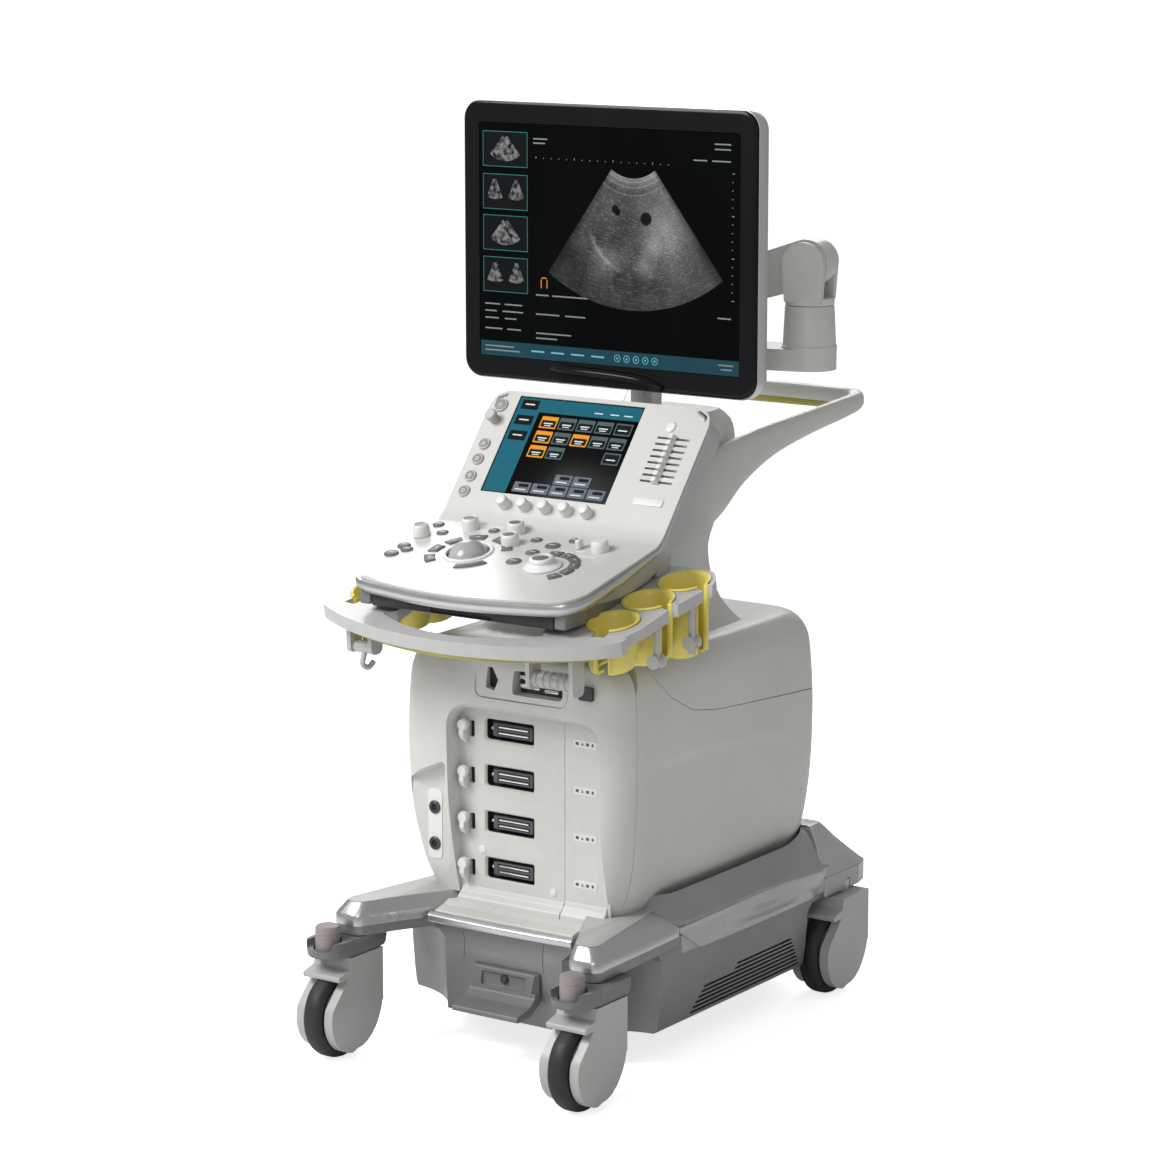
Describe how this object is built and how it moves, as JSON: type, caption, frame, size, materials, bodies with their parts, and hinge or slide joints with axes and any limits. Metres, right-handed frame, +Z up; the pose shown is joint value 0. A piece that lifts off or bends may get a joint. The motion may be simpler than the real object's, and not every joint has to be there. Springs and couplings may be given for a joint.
{
  "type": "ultrasound machine",
  "caption": "Wheeled ultrasound cart: castor base with foot brake, body with probe ports, height-adjustable swivelling console with touch screen and trackball, monitor on an articulated arm.",
  "frame": {"origin": "on the floor, under the middle of the overall width and depth; the cart's own centre line runs 12 mm to the operator's left of it", "axes": "+Z up; the operator stands on the -Y side, +X is the operator's right"},
  "size_m": [0.5332, 0.8272, 1.305],
  "materials": {
    "shell": "satin",
    "base_grey": "satin metallic",
    "silver": "bright",
    "dark_grey": "matte",
    "button": "matte",
    "tyre": "matte",
    "steel": "brushed",
    "white": "satin",
    "deck": "satin",
    "yellow": "satin",
    "black": "gloss",
    "glass": "gloss"
  },
  "bodies": {
    "base": {"chassis_plate": "steel", "base_cover": "base_grey", "front_trim_band": "silver", "underbody_tray": "dark_grey", "front_cover": "shell", "port_panel": "shell", "side_cover_left": "shell", "side_cover_right": "shell", "top_cover": "shell", "rear_cover": "shell", "electronics_module": "steel", "lift_column": "steel", "rear_handle": "shell", "castor_housing_left": "dark_grey", "castor_housing_right": "dark_grey"},
    "castor_front_left": {"castor_fork_front_left": "shell"},
    "wheel_front_left": {"castor_wheel_front_left": "tyre"},
    "castor_front_right": {"castor_fork_front_right": "shell"},
    "wheel_front_right": {"castor_wheel_front_right": "tyre"},
    "castor_rear_left": {"castor_fork_rear_left": "shell"},
    "wheel_rear_left": {"castor_wheel_rear_left": "tyre"},
    "castor_rear_right": {"castor_fork_rear_right": "shell"},
    "wheel_rear_right": {"castor_wheel_rear_right": "tyre"},
    "brake_left": {"brake_pedal_left": "button"},
    "brake_right": {"brake_pedal_right": "button"},
    "foot_pedal": {"foot_pedal": "dark_grey"},
    "lever_1": {"port_lever_1": "white"},
    "lever_2": {"port_lever_2": "white"},
    "lever_3": {"port_lever_3": "white"},
    "lever_4": {"port_lever_4": "white"},
    "lift": {"lift_mast": "steel"},
    "console": {"console_base": "shell", "control_panel": "deck", "touch_screen": "glass", "front_handle": "white", "probe_holder_left": "yellow", "probe_holder_right": "yellow"},
    "keyboard": {"keyboard_tray": "dark_grey"},
    "trackball": {"trackball": "white"},
    "encoder": {"encoder_dial": "white"},
    "menu_knob_1": {"menu_knob_1": "white"},
    "menu_knob_2": {"menu_knob_2": "white"},
    "menu_knob_3": {"menu_knob_3": "white"},
    "menu_knob_4": {"menu_knob_4": "white"},
    "menu_knob_5": {"menu_knob_5": "white"},
    "tgc_1": {"tgc_slider_1": "white"},
    "tgc_2": {"tgc_slider_2": "white"},
    "tgc_3": {"tgc_slider_3": "white"},
    "tgc_4": {"tgc_slider_4": "white"},
    "tgc_5": {"tgc_slider_5": "white"},
    "tgc_6": {"tgc_slider_6": "white"},
    "tgc_7": {"tgc_slider_7": "white"},
    "tgc_8": {"tgc_slider_8": "white"},
    "base_link": {"arm_base_link": "shell"},
    "knuckle": {"arm_knuckle": "shell"},
    "upper_arm": {"arm_upper": "shell"},
    "arm_end": {"arm_end_head": "dark_grey"},
    "bracket": {"monitor_bracket": "dark_grey"},
    "monitor": {"monitor_bezel": "black", "monitor_back": "white"}
  },
  "joints": [
    {"name": "swivel_front_left", "type": "hinge", "parent": "base", "child": "castor_front_left", "pos_m": [-0.21693, -0.31306, 0.0625], "axis": [0, 0, 1], "continuous": true},
    {"name": "roll_front_left", "type": "hinge", "parent": "castor_front_left", "child": "wheel_front_left", "pos_m": [-0.21693, -0.35106, 0.0625], "axis": [1, 0, 0], "continuous": true},
    {"name": "swivel_front_right", "type": "hinge", "parent": "base", "child": "castor_front_right", "pos_m": [0.19307, -0.31306, 0.0625], "axis": [0, 0, 1], "continuous": true},
    {"name": "roll_front_right", "type": "hinge", "parent": "castor_front_right", "child": "wheel_front_right", "pos_m": [0.19307, -0.35106, 0.0625], "axis": [1, 0, 0], "continuous": true},
    {"name": "swivel_rear_left", "type": "hinge", "parent": "base", "child": "castor_rear_left", "pos_m": [-0.21693, 0.32894, 0.0625], "axis": [0, 0, 1], "continuous": true},
    {"name": "roll_rear_left", "type": "hinge", "parent": "castor_rear_left", "child": "wheel_rear_left", "pos_m": [-0.21693, 0.29094, 0.0625], "axis": [1, 0, 0], "continuous": true},
    {"name": "swivel_rear_right", "type": "hinge", "parent": "base", "child": "castor_rear_right", "pos_m": [0.19307, 0.32894, 0.0625], "axis": [0, 0, 1], "continuous": true},
    {"name": "roll_rear_right", "type": "hinge", "parent": "castor_rear_right", "child": "wheel_rear_right", "pos_m": [0.19307, 0.29094, 0.0625], "axis": [1, 0, 0], "continuous": true},
    {"name": "brake_press_left", "type": "slide", "parent": "base", "child": "brake_left", "axis": [0, 0, -1], "range_m": [0, 0.0025], "stiffness_N_per_m": 800},
    {"name": "brake_press_right", "type": "slide", "parent": "base", "child": "brake_right", "axis": [0, 0, -1], "range_m": [0, 0.0025], "stiffness_N_per_m": 800},
    {"name": "foot_pedal_press", "type": "hinge", "parent": "base", "child": "foot_pedal", "pos_m": [-0.01193, -0.24006, 0.0965], "axis": [1, 0, 0], "range_deg": [0, 8], "stiffness_Nm_per_rad": 5},
    {"name": "lever_turn_1", "type": "hinge", "parent": "base", "child": "lever_1", "pos_m": [-0.10093, -0.19906, 0.4605], "axis": [0, 1, 0], "range_deg": [-90, 0]},
    {"name": "lever_turn_2", "type": "hinge", "parent": "base", "child": "lever_2", "pos_m": [-0.10093, -0.19906, 0.3945], "axis": [0, 1, 0], "range_deg": [-90, 0]},
    {"name": "lever_turn_3", "type": "hinge", "parent": "base", "child": "lever_3", "pos_m": [-0.10093, -0.19906, 0.3285], "axis": [0, 1, 0], "range_deg": [-90, 0]},
    {"name": "lever_turn_4", "type": "hinge", "parent": "base", "child": "lever_4", "pos_m": [-0.10093, -0.19906, 0.2625], "axis": [0, 1, 0], "range_deg": [-90, 0]},
    {"name": "lift_slide", "type": "slide", "parent": "base", "child": "lift", "axis": [0, 0, 1], "range_m": [0, 0.15]},
    {"name": "console_swivel", "type": "hinge", "parent": "lift", "child": "console", "pos_m": [-0.01193, -0.06406, 0.686], "axis": [0, 0, 1], "range_deg": [-20, 20]},
    {"name": "keyboard_slide", "type": "slide", "parent": "console", "child": "keyboard", "axis": [0, -1, 0], "range_m": [0, 0.16]},
    {"name": "trackball_roll", "type": "hinge", "parent": "console", "child": "trackball", "pos_m": [-0.07493, -0.22746, 0.69625], "axis": [1, 0, 0], "continuous": true},
    {"name": "encoder_turn", "type": "hinge", "parent": "console", "child": "encoder", "pos_m": [0.05907, -0.24506, 0.70464], "axis": [0, -0.2164, 0.9763], "continuous": true},
    {"name": "menu_turn_1", "type": "hinge", "parent": "console", "child": "menu_knob_1", "pos_m": [-0.09793, -0.11068, 0.75532], "axis": [0, -0.7738, 0.6334], "continuous": true},
    {"name": "menu_turn_2", "type": "hinge", "parent": "console", "child": "menu_knob_2", "pos_m": [-0.06393, -0.11068, 0.75532], "axis": [0, -0.7738, 0.6334], "continuous": true},
    {"name": "menu_turn_3", "type": "hinge", "parent": "console", "child": "menu_knob_3", "pos_m": [-0.02893, -0.11068, 0.75532], "axis": [0, -0.7738, 0.6334], "continuous": true},
    {"name": "menu_turn_4", "type": "hinge", "parent": "console", "child": "menu_knob_4", "pos_m": [0.00607, -0.11068, 0.75532], "axis": [0, -0.7738, 0.6334], "continuous": true},
    {"name": "menu_turn_5", "type": "hinge", "parent": "console", "child": "menu_knob_5", "pos_m": [0.04007, -0.11068, 0.75532], "axis": [0, -0.7738, 0.6334], "continuous": true},
    {"name": "tgc_slide_1", "type": "slide", "parent": "console", "child": "tgc_1", "axis": [1, 0, 0], "range_m": [-0.02, 0.02]},
    {"name": "tgc_slide_2", "type": "slide", "parent": "console", "child": "tgc_2", "axis": [1, 0, 0], "range_m": [-0.02, 0.02]},
    {"name": "tgc_slide_3", "type": "slide", "parent": "console", "child": "tgc_3", "axis": [1, 0, 0], "range_m": [-0.02, 0.02]},
    {"name": "tgc_slide_4", "type": "slide", "parent": "console", "child": "tgc_4", "axis": [1, 0, 0], "range_m": [-0.02, 0.02]},
    {"name": "tgc_slide_5", "type": "slide", "parent": "console", "child": "tgc_5", "axis": [1, 0, 0], "range_m": [-0.02, 0.02]},
    {"name": "tgc_slide_6", "type": "slide", "parent": "console", "child": "tgc_6", "axis": [1, 0, 0], "range_m": [-0.02, 0.02]},
    {"name": "tgc_slide_7", "type": "slide", "parent": "console", "child": "tgc_7", "axis": [1, 0, 0], "range_m": [-0.02, 0.02]},
    {"name": "tgc_slide_8", "type": "slide", "parent": "console", "child": "tgc_8", "axis": [1, 0, 0], "range_m": [-0.02, 0.02]},
    {"name": "link_swing", "type": "hinge", "parent": "lift", "child": "base_link", "pos_m": [-0.01193, 0.11394, 0.94], "axis": [0, 0, 1], "range_deg": [0, 40]},
    {"name": "knuckle_swing", "type": "hinge", "parent": "base_link", "child": "knuckle", "pos_m": [0.22807, 0.16094, 1.03], "axis": [0, 0, 1], "range_deg": [0, 80]},
    {"name": "arm_lift", "type": "hinge", "parent": "knuckle", "child": "upper_arm", "pos_m": [0.22807, 0.16094, 1.088], "axis": [-0.2095, 0.9778, 0], "range_deg": [0, 35]},
    {"name": "arm_level", "type": "hinge", "parent": "upper_arm", "child": "arm_end", "pos_m": [0.01807, 0.11594, 1.022], "axis": [-0.2095, 0.9778, 0], "range_deg": [-36, 1]},
    {"name": "monitor_pan", "type": "hinge", "parent": "arm_end", "child": "bracket", "pos_m": [0.01807, 0.11594, 1.022], "axis": [0, 0, 1], "range_deg": [-25, 10]},
    {"name": "monitor_tilt", "type": "hinge", "parent": "bracket", "child": "monitor", "pos_m": [-0.01193, 0.09844, 1.1], "axis": [1, 0, 0], "range_deg": [-25, 5]}
  ],
  "couplings": [
    {"joint": "arm_level", "follows": "arm_lift", "ratio": -1}
  ]
}
